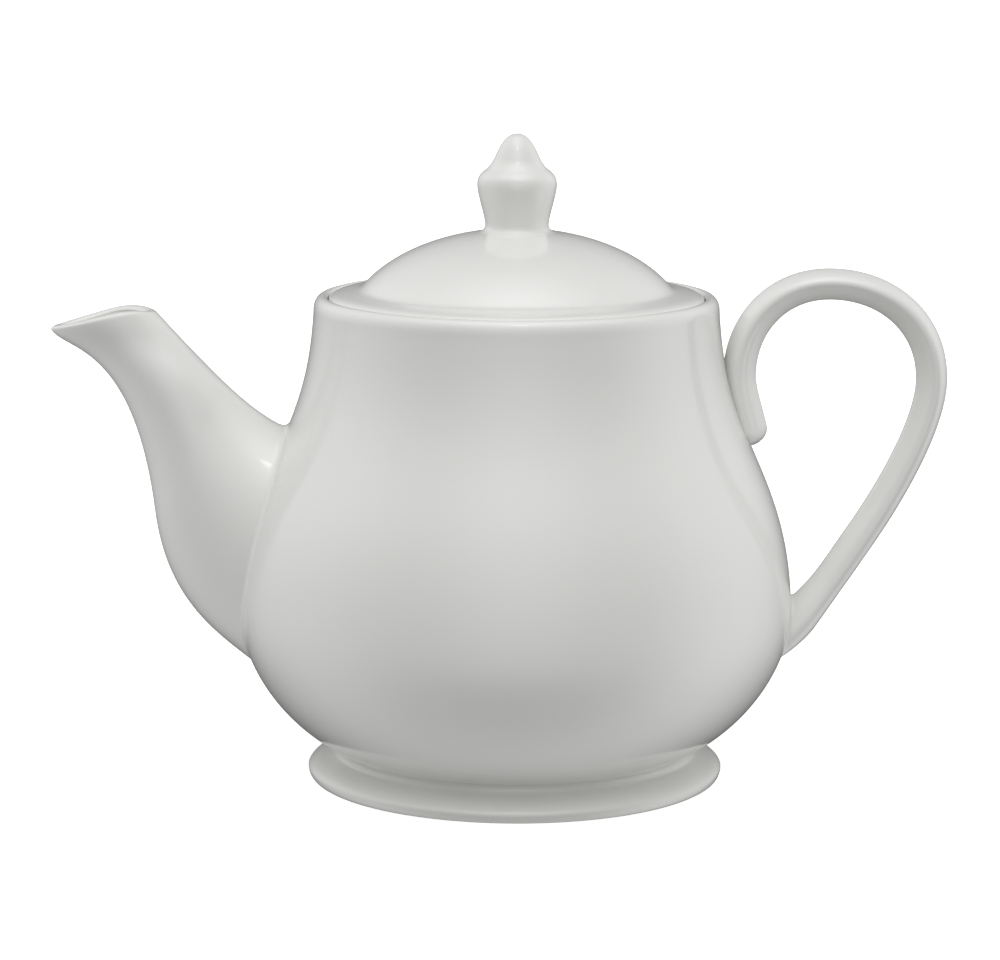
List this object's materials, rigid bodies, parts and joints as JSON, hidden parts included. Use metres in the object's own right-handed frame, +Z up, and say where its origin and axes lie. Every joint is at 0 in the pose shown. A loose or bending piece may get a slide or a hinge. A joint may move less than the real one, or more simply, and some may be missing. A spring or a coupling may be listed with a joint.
{
  "type": "teapot",
  "caption": "Round-bellied porcelain teapot with a flared foot, curved spout, loop handle and a lift-off domed lid with a turned knob.",
  "frame": {"origin": "on the pot's axis, in the plane the foot ring stands on", "axes": "+Z up along the pot's axis, -X towards the pouring lip, +X towards the handle, Y across"},
  "size_m": [0.241, 0.15, 0.1748],
  "materials": {
    "porcelain": "clear gloss glaze on white porcelain",
    "foot_porcelain": "clear gloss glaze, dry band where it stands",
    "bisque": "thinly glazed, dry where it bears"
  },
  "bodies": {
    "pot": {"pot_body": "porcelain", "foot_ring": "foot_porcelain", "spout": "porcelain", "handle": "porcelain"},
    "lid": {"lid_dome": "porcelain", "lid_flange": "bisque", "lid_knob": "porcelain"}
  },
  "joints": [
    {"name": "lid_lift", "type": "slide", "parent": "pot", "child": "lid", "axis": [0, 0, 1], "range_m": [0, 0.06]}
  ]
}
